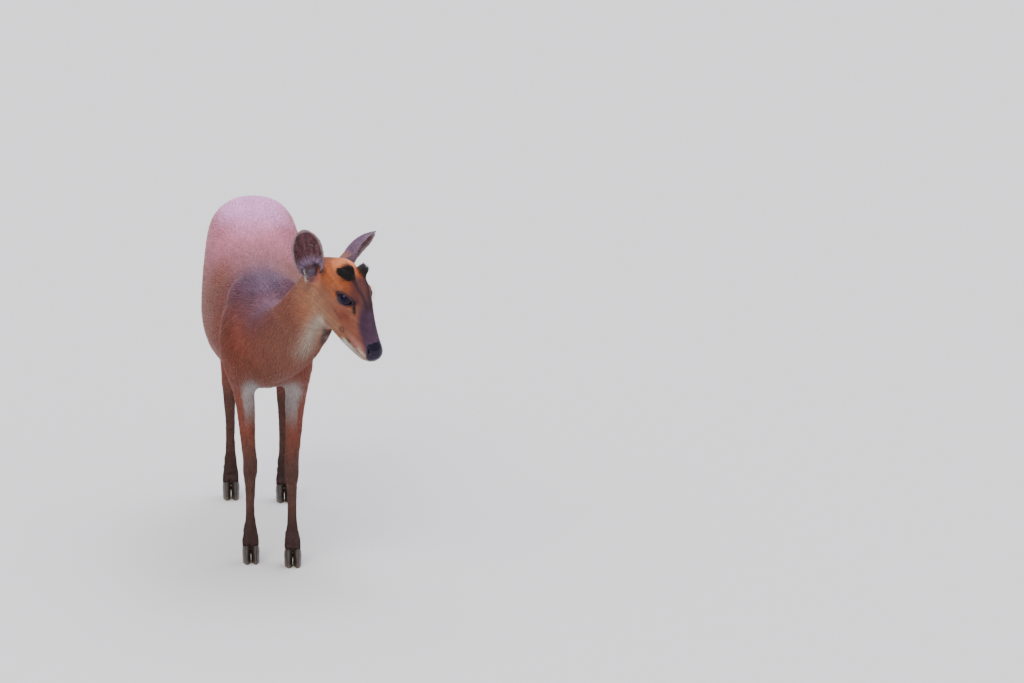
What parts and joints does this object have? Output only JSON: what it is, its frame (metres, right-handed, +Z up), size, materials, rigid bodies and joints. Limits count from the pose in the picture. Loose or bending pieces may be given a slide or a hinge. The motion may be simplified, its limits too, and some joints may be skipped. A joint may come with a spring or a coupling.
{
  "type": "standing female red muntjac model",
  "caption": "Life-size still model of a female red muntjac deer, standing, with her neck bent and her head turned and lowered to her left.",
  "frame": {"origin": "centre of the bounding box on the floor", "axes": "+Z up, -Y the way the body faces, +X the animal's left"},
  "size_m": [0.286, 0.7292, 0.6168],
  "materials": {
    "chestnut_coat": "short close chestnut hair of the trunk, neck and upper legs",
    "rufous_face": "very short orange-brown hair of the face, dark on the nose and up the forehead",
    "dusky_leg_coat": "short dark brown hair of the lower legs",
    "tail_hair": "long chestnut hair, white below",
    "ear_hair": "thin grey-brown hair over skin",
    "wet_eye": "wet and almost black",
    "hoof_horn": "worn dark horn, half dull"
  },
  "bodies": {
    "root": {"head": "rufous_face", "neck": "chestnut_coat", "torso": "chestnut_coat", "tail": "tail_hair", "ear_left": "ear_hair", "ear_right": "ear_hair", "eye_left": "wet_eye", "eye_right": "wet_eye", "dewclaw_fore_left_inner": "hoof_horn", "dewclaw_fore_left_outer": "hoof_horn", "dewclaw_fore_right_inner": "hoof_horn", "dewclaw_fore_right_outer": "hoof_horn", "dewclaw_hind_left_inner": "hoof_horn", "dewclaw_hind_left_outer": "hoof_horn", "dewclaw_hind_right_inner": "hoof_horn", "dewclaw_hind_right_outer": "hoof_horn", "hoof_fore_left_inner": "hoof_horn", "hoof_fore_left_outer": "hoof_horn", "hoof_fore_right_inner": "hoof_horn", "hoof_fore_right_outer": "hoof_horn", "hoof_hind_left_inner": "hoof_horn", "hoof_hind_left_outer": "hoof_horn", "hoof_hind_right_inner": "hoof_horn", "hoof_hind_right_outer": "hoof_horn", "lower_leg_fore_left": "dusky_leg_coat", "lower_leg_fore_right": "dusky_leg_coat", "lower_leg_hind_left": "dusky_leg_coat", "lower_leg_hind_right": "dusky_leg_coat", "upper_leg_fore_left": "chestnut_coat", "upper_leg_fore_right": "chestnut_coat", "upper_leg_hind_left": "chestnut_coat", "upper_leg_hind_right": "chestnut_coat"}
  },
  "joints": []
}
